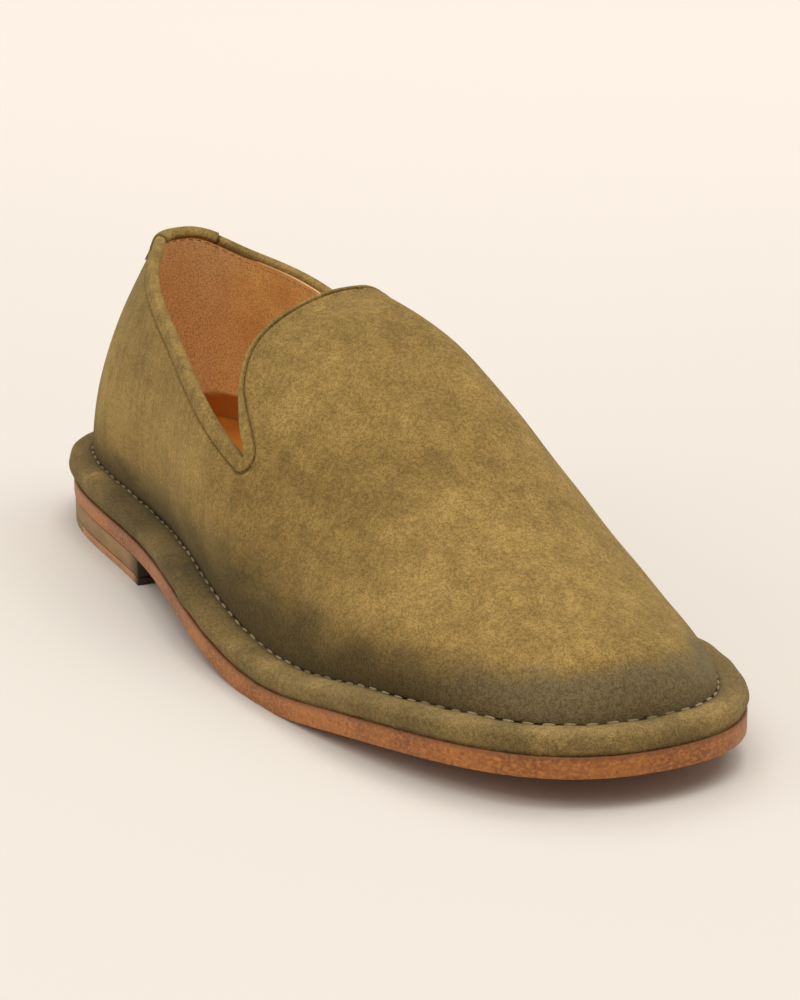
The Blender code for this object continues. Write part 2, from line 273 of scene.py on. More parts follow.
def set_value(piece, name, values):
    """Keeps one number on each corner of a piece, for its finish to read."""
    store = piece.data.attributes.new(name, "FLOAT", "POINT")
    store.data.foreach_set("value", values.astype(np.float32))


def bent_grid(name, points, values=None):
    """Adds a grid primitive, bends it over points in millimetres and stores values on its corners."""
    columns, rows = points.shape[:2]
    bpy.ops.mesh.primitive_grid_add(x_subdivisions=columns - 1, y_subdivisions=rows - 1, size=2.0)
    piece = bpy.context.object
    piece.name = name
    piece.data.name = name
    flat = np.empty(len(piece.data.vertices) * 3)
    piece.data.vertices.foreach_get("co", flat)
    column = np.rint((flat[0::3] + 1.0) / 2.0 * (columns - 1)).astype(int)
    row = np.rint((flat[1::3] + 1.0) / 2.0 * (rows - 1)).astype(int)
    piece.data.vertices.foreach_set("co", ((points[column, row] - CENTRE) * MM).ravel())
    for key, value in (values or {}).items():
        set_value(piece, key, value[column, row])
    piece.data.update()
    bpy.ops.object.mode_set(mode="EDIT")
    bpy.ops.mesh.select_all(action="SELECT")
    bpy.ops.mesh.remove_doubles(threshold=SHEET_MERGE)
    bpy.ops.mesh.dissolve_degenerate(threshold=SHEET_MERGE)
    bpy.ops.object.mode_set(mode="OBJECT")
    bpy.ops.object.shade_smooth()
    return piece


def thicken(piece, thickness):
    """Gives a sheet its thickness, away from the side its faces look to."""
    bpy.context.view_layer.objects.active = piece
    wall = piece.modifiers.new("thickness", "SOLIDIFY")
    wall.thickness = thickness * MM
    wall.offset = -1.0
    bpy.ops.object.modifier_apply(modifier=wall.name)


def belongs(piece, slot, *nodes):
    """Ties a finished piece to the part's body and hides the solids it stands for. The slot is not used."""
    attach(piece, "root")
    if nodes:
        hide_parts(*nodes)
    print(piece.name, len(piece.data.polygons), "faces")


# %% [markdown]
# ## The upper
# The upper is one skin from the crease of the rim to the collar. Its edge runs from the heel down to a V
# notch and up round the tongue. Ribs run from the crease to that edge, and fan out round the notch, where
# one point of the edge looks down, forward and every way between. The suede stops a little short of the
# edge, under the binding.

# %% Edge of the upper
COLLAR_STEPS = 90
FAN_STEPS = 28
TONGUE_STEPS = 60
FRONT_STEPS = 84
RIB_STEPS = 40
TOP_STEPS = 24
TOP_ZONE = 8.0
TIP_STEPS = 8
FAN_END = COLLAR_STEPS + FAN_STEPS
EDGE_COUNT = FAN_END + TONGUE_STEPS + 1


def edge_places(side, inset):
    """Stations and climbs of the collar, the fan at the notch and the tongue."""
    notch = NOTCH[side]
    share = np.linspace(0.0, 1.0, COLLAR_STEPS + 1)
    collar = share * notch
    collar_climb = climb_at_height(collar, even_curve(COLLAR["share"], COLLAR[side], share), side, inset)
    rise = np.linspace(0.0, 1.0, TONGUE_STEPS + 1)[1:]
    tongue = notch + (TONGUE_TOP - notch) * rise ** 2 * (3.0 - 2.0 * rise)
    tongue = tongue - OVERHANG[side] * np.sin(np.pi * rise) * (1.0 - rise) ** TONGUE_FADE
    tongue_climb = collar_climb[-1] + (1.0 - collar_climb[-1]) * rise
    station = np.concatenate((collar, np.full(FAN_STEPS, notch), tongue))
    climb = np.concatenate((collar_climb, np.full(FAN_STEPS, collar_climb[-1]), tongue_climb))
    return station, climb


def edge_frame(side, inset):
    """Edge points of one side with their outward normals, and the changes of station and climb that go
    one millimetre into the suede."""
    station, climb = edge_places(side, inset)
    nudge = 0.01
    back = np.clip(station - nudge, 0.0, 1.0)
    by_station = last_point(station + nudge, climb, side, inset) - last_point(back, climb, side, inset)
    by_station /= (station + nudge - back)[:, None]
    spot = last_point(station, climb, side, inset)
    by_climb = (spot - last_point(station, climb - nudge, side, inset)) / nudge
    normal = unit(-SIDES[side] * np.cross(by_station, by_climb))
    run = np.concatenate((
        np.gradient(spot[:COLLAR_STEPS + 1], axis=0),
        np.zeros((FAN_STEPS - 1, 3)),
        np.gradient(spot[FAN_END:], axis=0)))
    into = unit(-SIDES[side] * np.cross(run, normal))
    first = into[COLLAR_STEPS]
    square = np.cross(normal[COLLAR_STEPS], first)
    whole = np.arctan2(into[FAN_END] @ square, into[FAN_END] @ first)
    for step in range(1, FAN_STEPS):
        turn = whole * step / FAN_STEPS
        into[COLLAR_STEPS + step] = first * np.cos(turn) + square * np.sin(turn)
    slopes = np.stack((by_station, by_climb), axis=-1)
    d_station, d_climb = (np.linalg.pinv(slopes) @ into[..., None])[..., 0].T
    d_station[0], d_climb[0] = 0.0, -1.0 / np.linalg.norm(by_climb[0])
    d_station[-1], d_climb[-1] = 1.0 / np.linalg.norm(by_station[-1]), 0.0
    ridge_run = unit(by_station[-1])
    ridge_normal = unit(np.array((0.0, 0.0, 1.0)) - ridge_run[2] * ridge_run)
    to_ridge = ease(EDGE_COUNT - 1 - TIP_STEPS, EDGE_COUNT - 1, np.arange(EDGE_COUNT))[:, None]
    normal = unit(normal * (1.0 - to_ridge) + ridge_normal * to_ridge)
    return station, climb, normal, d_station, d_climb


# %% Ribs of the upper
EDGE_TUCK = 1.2
RIDGE_PASSES = 24
RIDGE_ROWS = 9.0
RIDGE_PULL = 0.25
RIB_BOW = 1.1
ZONE_LIMITS = (0.02, 0.4)


def ribs(side, inset, tuck):
    """Points of one side of the upper in ribs, and their stations. The top is tucked in from the edge."""
    station, climb, _, d_station, d_climb = edge_frame(side, inset)
    notch_climb = climb[COLLAR_STEPS]
    edge_station = np.clip(station + tuck * d_station, 0.0, 1.0)
    edge_climb = np.minimum(climb + tuck * d_climb, 1.0)
    front = np.linspace(edge_station[-1], 1.0, FRONT_STEPS + 1)[1:]
    top_station = np.concatenate((edge_station, front))
    top_climb = np.concatenate((edge_climb, np.ones(FRONT_STEPS)))
    slant = np.pi * OVERHANG[side] / (1.0 - notch_climb)
    knots = (0.0, NOTCH[side] - NOTCH_BACK, NOTCH[side] + slant * notch_climb + NOTCH_AHEAD)
    knots = knots + (knots[2] + TONGUE_FLARE, 1.0)
    counts = (COLLAR_STEPS, FAN_STEPS, TONGUE_STEPS, FRONT_STEPS)
    foot_station = np.concatenate(
        [np.zeros(1)] + [np.linspace(low, high, count + 1)[1:]
                         for low, high, count in zip(knots[:-1], knots[1:], counts)])
    feet = last_point(foot_station, np.zeros_like(foot_station), side, inset)
    tops = last_point(top_station, top_climb, side, inset)
    zone = np.clip(TOP_ZONE / (np.linalg.norm(tops - feet, axis=1) * RIB_BOW + TINY), *ZONE_LIMITS)
    low_share = np.linspace(0.0, 1.0, RIB_STEPS + 1)
    top_share = np.linspace(0.0, 1.0, TOP_STEPS + 1)[1:]
    share = np.concatenate((
        (1.0 - zone)[:, None] * low_share, 1.0 - zone[:, None] * (1.0 - top_share)), axis=1)
    place = foot_station[:, None] + (top_station - foot_station)[:, None] * share
    return last_point(place, top_climb[:, None] * share, side, inset), place


def round_ridge(outer, inner):
    """Rounds the vamp where both sides meet along the ridge."""
    rows = outer.shape[1]
    line = np.concatenate((outer[EDGE_COUNT:], inner[EDGE_COUNT:, -2::-1]), axis=1)
    pull = hump(np.arange(2 * rows - 1), rows - 1, RIDGE_ROWS)[None, :, None]
    for _ in range(RIDGE_PASSES):
        bend = line[:, :-2] - 2.0 * line[:, 1:-1] + line[:, 2:]
        line[:, 1:-1] += RIDGE_PULL * pull[:, 1:-1] * bend
    outer[EDGE_COUNT:] = line[:, :rows]
    inner[EDGE_COUNT:] = line[:, :rows - 2:-1]


def around(outer, inner):
    """One loop of columns: outer side from heel to toe, then inner side back to the heel."""
    return np.concatenate((outer, inner[-2::-1]))


def both_sides(inset, tuck):
    """Both sides of the upper so far under its skin, and the stations of their loop."""
    (outer, outer_place), (inner, inner_place) = (ribs(side, inset, tuck) for side in SIDES)
    round_ridge(outer, inner)
    return outer, inner, around(outer_place, inner_place)


def grid_normals(points):
    return unit(np.cross(np.gradient(points, axis=0), np.gradient(points, axis=1)))


def nearest(points, line):
    """Distance from each point of a grid to a line of points, and the index of the nearest."""
    distance = np.empty(points.shape[:2])
    index = np.empty(points.shape[:2], dtype=int)
    for column in range(len(points)):
        gap = np.linalg.norm(points[column][:, None] - line[None], axis=-1)
        index[column] = gap.argmin(axis=1)
        distance[column] = gap.min(axis=1)
    return distance, index


outer_ribs, inner_ribs, skin_station = both_sides(0.0, EDGE_TUCK)
skin = around(outer_ribs, inner_ribs)
edge_line = around(*(last_point(*edge_places(side, 0.0), side, 0.0) for side in SIDES))
above_crease, _ = nearest(skin, skin[:, 0])
from_edge, edge_index = nearest(skin, edge_line)
print("skin of", skin.shape[0], "ribs; collar and tongue edge", len(edge_line), "points")

# %% [markdown]
# ### Binding width, creases, dye, tone, and painted light and shade
# The collar has a sewn binding nearly 4 mm wide that narrows to a thin roll on the tongue. Beside it the
# suede is drawn into a shallow groove, and shade is painted into it. Wear has left a few soft troughs on
# the quarter and under the notch. The maker has also rubbed dark dye into the suede round the toe and along
# the crease, where the dark band also holds painted shade. Hands have brushed the nap lighter and darker
# here and there, and more spots add painted light on the vamp top and painted shade low on the sides. The
# troughs are modelled; the dye, the brushed spots and the painted light and shade are kept as values on the
# sheet, for the finish to use.

# %% Tables of wear, dye, brushed nap, and painted light and shade
COLLAR_BINDING = 3.7
TONGUE_BINDING = 1.3
NARROWING_STEPS = 12
SKIN_THICK = 1.2
WAVE_HEIGHT = 0.16
WAVE_SIZE = 9.0
SETTLED = 6.0
TOE_PART = (0.70, 0.88)
GROOVE_DEPTH = 0.5
GROOVE = {"at": 0.3, "width": 0.5}
SWELL_HEIGHT = 0.28
SWELL = {"at": 1.9, "width": 0.9}
LIP_HEIGHT = 0.45
LIP = {"at": 1.9, "width": 0.8}
# Reach and softness of the dark band: dye round the toe, dye and painted shade along the crease.
DYE_AND_SHADE_BAND = {
    "station": (0.0, 0.2, 0.35, 0.48, 0.56, 0.66, 0.8, 0.9, 1.0),
    "reach": (7.0, 7.0, 8.0, 12.0, 16.0, 11.5, 10.5, 13.0, 14.5),
    "soft": (9.0, 9.0, 10.0, 15.0, 17.0, 11.0, 7.5, 6.0, 6.0),
}
MARK_COLUMNS = ("start", "end", "width", "size")
TROUGHS = side_rows(MARK_COLUMNS, outer=(
    ((0.20, 0.36), (0.27, 0.20), 2.4, 0.45),
    ((0.27, 0.36), (0.32, 0.19), 2.0, 0.40),
    ((0.36, 0.30), (0.35, 0.17), 2.2, 0.30),
    ((0.49, 0.27), (0.52, 0.15), 2.6, 0.55),
    ((0.535, 0.27), (0.545, 0.15), 2.2, 0.35),
    ((0.455, 0.24), (0.475, 0.13), 2.4, 0.30),
), inner=(
    ((0.22, 0.34), (0.27, 0.19), 2.4, 0.40),
    ((0.30, 0.34), (0.32, 0.18), 2.2, 0.35),
    ((0.47, 0.26), (0.50, 0.14), 2.6, 0.50),
))
# Spots of brushed nap; some are painted light on the vamp top and painted shade low on the sides.
NAP_AND_LIGHT_SPOTS = side_rows(MARK_COLUMNS, outer=(
    ((0.66, 0.83), (0.79, 0.90), 13.0, 0.45),
    ((0.687, 0.34), (0.697, 0.80), 6.5, 0.6),
    ((0.61, 0.22), (0.66, 0.28), 5.0, 0.7),
    ((0.645, 0.64), (0.655, 0.72), 6.0, 0.6),
    ((0.24, 0.20), (0.46, 0.21), 9.0, 0.6),
    ((0.72, 0.42), (0.74, 0.70), 5.0, 0.5),
    ((0.84, 0.62), (0.87, 0.98), 5.0, 0.6),
    ((0.50, 0.48), (0.51, 0.58), 7.0, 0.35),
    ((0.61, 0.62), (0.62, 0.76), 6.0, -0.45),
    ((0.15, 0.45), (0.34, 0.36), 9.0, -0.45),
    ((0.49, 0.84), (0.52, 0.92), 12.0, -0.35),
    ((0.56, 0.42), (0.58, 0.50), 12.0, -0.3),
    ((0.55, 0.12), (0.58, 0.20), 11.0, -0.6),
), inner=(
    ((0.24, 0.20), (0.44, 0.22), 9.0, 0.6),
    ((0.66, 0.45), (0.70, 0.75), 8.0, 0.6),
    ((0.55, 0.14), (0.60, 0.22), 11.0, -0.6),
    ((0.15, 0.45), (0.34, 0.36), 9.0, -0.4),
))
print(len(TROUGHS), "troughs and", len(NAP_AND_LIGHT_SPOTS), "brushed spots")


# %% Groove, troughs, dye with painted shade, and tone with painted light values
def binding_width(count_from_heel):
    """Binding width at an edge point, counted from the heel back along one side."""
    to_tongue = ease(FAN_END, FAN_END + NARROWING_STEPS, count_from_heel)
    return COLLAR_BINDING + (TONGUE_BINDING - COLLAR_BINDING) * to_tongue


def near_mark(points, mark):
    """Share along a mark drawn on the last, and the distance from it in widths of the mark."""
    start, end = (last_point(*np.array(mark[name]), mark["side"], 0.0) for name in ("start", "end"))
    run = end - start
    share = np.clip(((points - start) @ run) / (run @ run), 0.0, 1.0)
    away = np.linalg.norm(points - start - share[..., None] * run, axis=-1) / mark["width"]
    return share, away


def troughs(points):
    """Depth of the worn troughs at each point, with a low ridge beside each."""
    depth = np.zeros(points.shape[:2])
    for trough in TROUGHS:
        share, away = near_mark(points, trough)
        taper = np.sin(np.pi * np.clip(share, 0.02, 0.98)) ** 0.7
        dip = hump(away, 0.0, 1.0) - LIP_HEIGHT * hump(away, **LIP)
        depth -= trough["size"] * taper * dip
    return depth


def nap_and_light_tones(points):
    """How much lighter or darker each point is: brushed nap, and painted light and shade."""
    tone_and_painted_light = np.zeros(points.shape[:2])
    for brushed in NAP_AND_LIGHT_SPOTS:
        tone_and_painted_light += brushed["size"] * hump(near_mark(points, brushed)[1], 0.0, 1.0)
    return tone_and_painted_light


def slow_waves(points, size):
    """Soft unevenness of hand-lasted suede: a few long waves that cross one another."""
    x, y, z = (points[..., axis] / size for axis in range(3))
    return (np.sin(1.3 * x + 0.7 * y + 0.4) * np.sin(1.1 * z - 0.6 * x + 1.9)
            + 0.6 * np.sin(2.3 * y + 1.7 * z + 2.2) * np.sin(1.9 * x + 0.8)) / 1.6


from_heel = np.minimum(edge_index, len(edge_line) - 1 - edge_index)
beside = from_edge - binding_width(from_heel)
groove = SWELL_HEIGHT * hump(beside, **SWELL) - GROOVE_DEPTH * hump(beside, **GROOVE)
settle = ease(0.0, SETTLED, above_crease)
lift = groove + troughs(skin) + WAVE_HEIGHT * slow_waves(skin, WAVE_SIZE) * settle
# Width and softness of the dark band: dye, and painted shade low on the sides by the crease.
band_reach, band_soft = (
    even_curve(DYE_AND_SHADE_BAND["station"], DYE_AND_SHADE_BAND[name], skin_station) for name in ("reach", "soft"))
skin_values = {
    "dye_and_crease_shade": np.clip(0.5 + (band_reach - above_crease) / (2.0 * band_soft), 0.0, 1.0),
    "beside": beside,
    "tone_and_painted_light": nap_and_light_tones(skin),
    "toe_part": ease(*TOE_PART, skin_station),
}
skin = skin + grid_normals(skin) * lift[..., None]
upper = bent_grid("upper_suede", skin, skin_values)
thicken(upper, SKIN_THICK)
belongs(upper, "suede", "upper")

# %% [markdown]
# ## The lining
# Inside, the back half is lined with napped leather, flesh side out, so that the heel doesn't slip. In
# front of a seam the lining is smooth, and so is the brown strip that turns up from the insole. The raw top
# edge is sewn on a little below the collar. The skin could be copied and shrunk, but it would then pull
# away from the collar. The same ribs, one wall thickness further in, stay level with it. The faces of the
# lining look into the shoe.

# %% Lining sheet
LINING_DROP = 1.9
LOW_LINING = 30.5
LINING_SEAM = 0.36
LINING_GAP = 0.15
LINING_THICK = 0.8
SEAM_STEP = 0.45
# Stations where painted light on the napped lining fades out from the heel.
HEEL_LIGHT_ZONE = (0.06, 0.24)
outer_lining, inner_lining, lining_station = both_sides(WALL + LINING_GAP, LINING_DROP)
lining_points = around(outer_lining, inner_lining)
lining_edge = around(outer_lining[:EDGE_COUNT, -1], inner_lining[:EDGE_COUNT, -1])
below_top, _ = nearest(lining_points, lining_edge)
smooth_part = ease(LINING_SEAM - 0.002, LINING_SEAM + 0.004, lining_station)
lining_normals = grid_normals(lining_points)
lining_points = lining_points + lining_normals * (SEAM_STEP * smooth_part)[..., None]
lining_values = {
    "smooth_part": smooth_part[::-1],
    "below_top": below_top[::-1],
    "low_part": 1.0 - ease(LOW_LINING - 0.4, LOW_LINING + 0.4, lining_points[::-1, :, 2]),
    "heel_painted_light": 1.0 - ease(*HEEL_LIGHT_ZONE, lining_station[::-1]),
}
lining = bent_grid("lining", lining_points[::-1], lining_values)
thicken(lining, LINING_THICK)
belongs(lining, "insole_leather")

# %% [markdown]
# ### The sock
# A thin leather sock covers the insole and turns up a little where it meets the lining, so that no gap
# shows from above. A scaled copy of the insole would keep its flat face and sharp rim. Rows carried across
# from one lining to the other can dish like the real one.

# %% Sock over the insole
SOCK_STEPS = 120
SOCK_ROWS = 25
INSOLE_THICK = 2.6
SOCK_LIFT = 0.3
SOCK_TURN_UP = 1.4
SOCK_THICK = 0.4
sock_station = np.linspace(0.0, 1.0, SOCK_STEPS + 1)
outer_foot, inner_foot = (np.stack(feather_point(sock_station, side, WALL), axis=-1) for side in SIDES)
across_share = np.linspace(0.0, 1.0, SOCK_ROWS)[None, :, None]
sock_points = outer_foot[:, None] * (1.0 - across_share) + inner_foot[:, None] * across_share
dish = np.abs(2.0 * across_share[..., 0] - 1.0) ** 5
sock_points[..., 2] += INSOLE_THICK + SOCK_LIFT + SOCK_TURN_UP * dish
sock = bent_grid("sock", sock_points)
thicken(sock, SOCK_THICK)
belongs(sock, "insole_leather")

# %% [markdown]
# ## Collar binding and tongue edge
# A strip of the same suede is folded over the raw edge. A curve with a bevel could trace it, but a round
# bevel can't lie flat on the suede. Here a folded section is carried along the edge instead: each point of
# the section is so far down the skin and so far above it.

# %% Folded strips along the edge
SECTION_COLUMNS = ("share", "shift", "over")
BINDING_SECTION = named_rows(SECTION_COLUMNS, (
    (1.0, 0.1, -0.45),
    (1.0, 0.0, 0.10),
    (0.93, 0.0, 0.48),
    (0.65, 0.0, 0.70),
    (0.3, 0.1, 0.74),
    (0.0, 0.5, 0.55),
    (0.0, 0.1, 0.0),
    (0.0, 0.0, -0.9),
    (0.0, 0.1, -1.7),
    (0.0, 0.7, -2.15),
    (0.0, 1.2, -2.2),
    (0.0, 1.8, -2.1),
    (0.0, 2.0, -1.8),
))
INSIDE_SECTION = named_rows(SECTION_COLUMNS, (
    (0.3, 1.0, -1.3),
    (0.6, 0.5, -0.7),
))
BINDING_ROWS = 37
TAB_ROWS = 41
TAB_POINTS = 18


def folded_strip(sections, first, last):
    """Points of a strip folded over the edge, between two edge points counted from the heel back."""
    sides = []
    for side in SIDES:
        station, climb, normal, d_station, d_climb = (row[first:last] for row in edge_frame(side, 0.0))
        width = binding_width(np.arange(first, last))
        puff = 0.45 + 0.55 * (width - TONGUE_BINDING) / (COLLAR_BINDING - TONGUE_BINDING)
        rows = []
        for knot in sections:
            down = knot["share"] * width + knot["shift"]
            reached = np.minimum(climb + down * d_climb, 1.0)
            spot = last_point(np.clip(station + down * d_station, 0.0, 1.0), reached, side, 0.0)
            over = np.where(knot["over"] > 0.0, knot["over"] * puff, knot["over"])
            rows.append(spot + normal * over[:, None])
        sides.append(np.stack(rows, axis=1))
    return sides


def section_mix(count, rows):
    """Weights that carry a section of few points to a smooth one of many rows."""
    knots = np.linspace(0.0, 1.0, count)
    at = np.linspace(0.0, 1.0, rows)
    return np.stack([smooth_curve(knots, weight, at) for weight in np.eye(count)], axis=1)


# %% Binding strip
outer_strip, inner_strip = folded_strip(BINDING_SECTION, 0, EDGE_COUNT)
strip = around(outer_strip, inner_strip)
strip = np.einsum("rk,ckd->crd", section_mix(len(BINDING_SECTION), BINDING_ROWS), strip)
outer_core, inner_core = folded_strip(INSIDE_SECTION, 0, EDGE_COUNT)
strip = np.concatenate((strip, around(outer_core, inner_core), strip[:, :1]), axis=1)
edge_run = distance_along(edge_line)
run_from_heel = np.minimum(edge_run, edge_run[-1] - edge_run)
past_tab = np.broadcast_to((run_from_heel - run_from_heel[TAB_POINTS - 1])[:, None], strip.shape[:2])
binding = bent_grid("collar_binding", strip, {"past_tab": past_tab})
belongs(binding, "suede")

# %% [markdown]
# ## The heel tab
# A short tab of suede is folded over the binding at the back of the heel, where the strip's two ends meet.
# Its cut edges show. A flat patch laid over the binding would cut through the roll. A piece of the same
# folded strip, a little higher and longer, follows it, and has a thickness of its own.

# %% Heel tab
TAB_LIFT = 0.55
TAB_THICK = 0.8
CLEAR_OF_TAB = 9.0
TAB_SECTION = named_rows(SECTION_COLUMNS, (
    (0.0, 8.0, -0.05),
    (0.0, 6.5, 0.02),
    (0.0, 5.0, 0.15),
    (1.0, 0.2, 0.42),
)) + BINDING_SECTION[2:10]
outer_tab, inner_tab = folded_strip(TAB_SECTION, 0, TAB_POINTS)
tab_points = np.concatenate((inner_tab[:0:-1], outer_tab))
tab_points = np.einsum("rk,ckd->crd", section_mix(len(TAB_SECTION), TAB_ROWS), tab_points)
tab_points = tab_points + grid_normals(tab_points) * TAB_LIFT
tab = bent_grid("heel_tab", tab_points, {"past_tab": np.full(tab_points.shape[:2], CLEAR_OF_TAB)})
thicken(tab, TAB_THICK)
belongs(tab, "suede")

# %% [markdown]
# ## The padded rim
# All round the shoe a band of suede is wrapped over padding and sewn down into the crease. Its section is
# a plump half round that leans into the crease. A circle swept along a path would be too regular, so the
# section changes from heel to toe, swells a little unevenly, and is drawn in at every stitch.

# %% Rim sections
RIM_CREST = 0.3
RIM_UNDER = 0.8
RIM_SWELL = 0.6
RIM_LOW = 0.45
RIM_ROUND = 0.75
RIM_STEPS = 220
RIM_ROWS = 33
STITCH_PITCH = 4.8
RIM_WAVE = 0.32
RIM_WAVE_SIZE = 5.5
CREASE_TUCK = {"inward": 0.7, "down": 1.6}
FOREFOOT = (0.42, 0.68)
STITCH_DRAW = 0.4
DRAW_ROWS = 2.6
# Worn spots on the rim; the light ones on its top and at the toe are also painted highlight.
SCUFFS_AND_HIGHLIGHTS = side_rows(("station", "inset", "up", "width", "size"), outer=(
    (0.25, 2.0, 7.0, 7.0, 0.8),
    (0.18, 1.0, 5.0, 6.0, 0.4),
    (0.36, 2.0, 6.0, 9.0, -0.6),
    (0.45, 2.0, 6.0, 12.0, -0.6),
    (0.56, 1.5, 4.5, 8.0, 0.5),
    (0.60, 3.0, 6.0, 7.0, 0.9),
    (0.65, 4.0, 6.0, 6.0, 0.9),
    (0.81, 1.0, 4.0, 6.0, 0.4),
    (0.89, 2.5, 5.0, 8.0, 0.9),
    (0.95, 2.0, 4.5, 8.0, 0.7),
), inner=(
    (0.95, 3.5, 5.5, 8.0, 0.9),
    (0.90, 1.5, 4.5, 5.0, 0.5),
    (0.60, 3.0, 6.0, 8.0, 0.7),
    (0.44, 2.0, 6.0, 12.0, -0.6),
    (0.24, 2.0, 6.0, 7.0, 0.6),
))


def rim_knots(inset, rise, puff):
    """Section of the rim as a few points: distance in from the sole edge and height over the sole."""
    crest = rise + RIM_CREST
    widest = 0.5 * crest
    turn = np.linspace(0.0, np.pi, 8)
    arc_in = 0.5 * (inset - puff) - 0.5 * (inset + puff) * np.cos(turn)
    start = np.where(turn < 0.5 * np.pi, widest, rise)
    arc_up = start + (crest - start) * np.clip(np.sin(turn), 0.0, 1.0) ** RIM_ROUND
    low_in = RIM_UNDER - RIM_SWELL * (RIM_UNDER + puff)
    inward = np.concatenate(([RIM_UNDER, low_in], arc_in, [inset + CREASE_TUCK["inward"]]))
    upward = np.concatenate(([0.0, RIM_LOW * widest], arc_up, [rise - CREASE_TUCK["down"]]))
    return np.stack((inward, upward), axis=-1)


def rim_side(side):
    """Rim points of one side, from the sole over the crest into the crease."""
    station = np.linspace(0.0, 1.0, RIM_STEPS + 1)
    sizes = [crease_size(along_at(station), name) for name in ("inset", "rise", "puff")]
    knots = np.stack([rim_knots(*row) for row in zip(*sizes)])
    sections = np.einsum("rk,skd->srd", section_mix(knots.shape[1], RIM_ROWS), knots)
    closing = np.stack((sections[:, -1] * (1.0, 0.0) + (0.0, 0.2), sections[:, 0]), axis=1)
    sections = np.concatenate((sections, closing), axis=1)
    rows = []
    for row in range(sections.shape[1]):
        at, across = edge_point(station, side, sections[:, row, 0])
        rows.append(np.stack((at, across, sole_height(at) + sections[:, row, 1]), axis=-1))
    return np.stack(rows, axis=1)


rim_points = around(rim_side("outer"), rim_side("inner"))
rim_normals = grid_normals(rim_points)
crease_row = RIM_ROWS - 7
seam_run = distance_along(rim_points[:, crease_row])
stitch_count = int(round(seam_run[-1] / STITCH_PITCH))
pitch = seam_run[-1] / stitch_count
rim_row = np.arange(rim_points.shape[1])
at_stitch = 0.55 + 0.45 * np.cos(2.0 * np.pi * seam_run / pitch)
draw = hump(rim_row, crease_row, DRAW_ROWS)[None, :] * at_stitch[:, None]
on_rim = (rim_row < RIM_ROWS - 2) & (rim_row > 1)
rim_lift = (RIM_WAVE * slow_waves(rim_points, RIM_WAVE_SIZE) - STITCH_DRAW * draw) * on_rim
rim_points = rim_points + rim_normals * rim_lift[..., None]
share_up = np.broadcast_to(rim_row / (RIM_ROWS - 1.0), rim_points.shape[:2])
rim_station = np.linspace(0.0, 1.0, RIM_STEPS + 1)
rim_station = np.broadcast_to(around(rim_station, rim_station)[:, None], rim_points.shape[:2])
# Wear, and painted highlight on the rim's top and toe.
wear_and_highlight = np.zeros(rim_points.shape[:2])
for rim_mark in SCUFFS_AND_HIGHLIGHTS:
    at, across = edge_point(np.array(rim_mark["station"]), rim_mark["side"], rim_mark["inset"])
    middle = np.array((at, across, sole_height(at) + rim_mark["up"]))
    wear_and_highlight += rim_mark["size"] * hump(np.linalg.norm(rim_points - middle, axis=-1), 0.0, rim_mark["width"])
rim = bent_grid("rim_cover", rim_points, {
    "share_up": np.clip(share_up, 0.0, 1.0), "tone_and_painted_light": wear_and_highlight, "forefoot": ease(*FOREFOOT, rim_station)})
belongs(rim, "rim_suede", "midsole")
print("seam of", round(seam_run[-1]), "mm takes", stitch_count, "stitches")

# %% [markdown]
# ## Stitches
# A pale thread runs in the crease, and finer ones hold the lining. One stitch is modelled from a small
# sphere, pulled long and flattened, and copied along each seam so that every copy lies on the seam's own
# direction.

# %% One stitch and its copies
STITCH_FLAT = 0.8


def one_stitch(length, thick):
    """Corners and faces of one stitch, modelled from a sphere and then removed."""
    bpy.ops.mesh.primitive_uv_sphere_add(segments=8, ring_count=6, radius=0.5)
    ball = bpy.context.object
    bpy.ops.object.mode_set(mode="EDIT")
    bpy.ops.mesh.select_all(action="SELECT")
    bpy.ops.transform.rotate(value=np.pi / 2.0, orient_axis="Y", center_override=(0.0, 0.0, 0.0))
    bpy.ops.transform.resize(value=(length, thick, STITCH_FLAT * thick))
    bpy.ops.object.mode_set(mode="OBJECT")
    corners = np.array([vertex.co for vertex in ball.data.vertices])
    faces = [tuple(face.vertices) for face in ball.data.polygons]
    bpy.data.objects.remove(ball)
    return corners, faces


def stitch_row(name, line, normals, count, length, thick, sink):
    """Copies of a stitch, evenly along a line."""
    run = distance_along(line)
    at = (np.arange(count) + 0.5) / count * run[-1]

    def on_line(distance, vectors):
        return np.stack([np.interp(distance, run, vectors[:, axis]) for axis in range(3)], axis=1)

    spot = on_line(at, line)
    way = unit(on_line(at + 0.5, line) - on_line(at - 0.5, line))
    up = on_line(at, normals)
    up = unit(up - way * (up * way).sum(1, keepdims=True))
    cross = np.cross(up, way)
    corners, faces = one_stitch(length, thick)
    places = (spot - up * sink)[:, None] + corners[:, 0, None] * way[:, None] \
        + corners[:, 1, None] * cross[:, None] + corners[:, 2, None] * up[:, None]
    all_faces = [tuple(corner + copy * len(corners) for corner in face)
                 for copy in range(count) for face in faces]
    mesh = bpy.data.meshes.new(name)
    mesh.from_pydata(((places.reshape(-1, 3) - CENTRE) * MM).tolist(), [], all_faces)
    piece = bpy.data.objects.new(name, mesh)
    bpy.context.scene.collection.objects.link(piece)
    bpy.ops.object.select_all(action="DESELECT")
    piece.select_set(True)
    bpy.context.view_layer.objects.active = piece
    bpy.ops.object.shade_smooth()
    return piece


CREASE_STITCH = {"length": 3.0, "thick": 0.75, "sink": 0.0}
crease_stitches = stitch_row(
    "crease_stitches", rim_points[:, crease_row], rim_normals[:, crease_row], stitch_count, **CREASE_STITCH)
belongs(crease_stitches, "rim_suede")

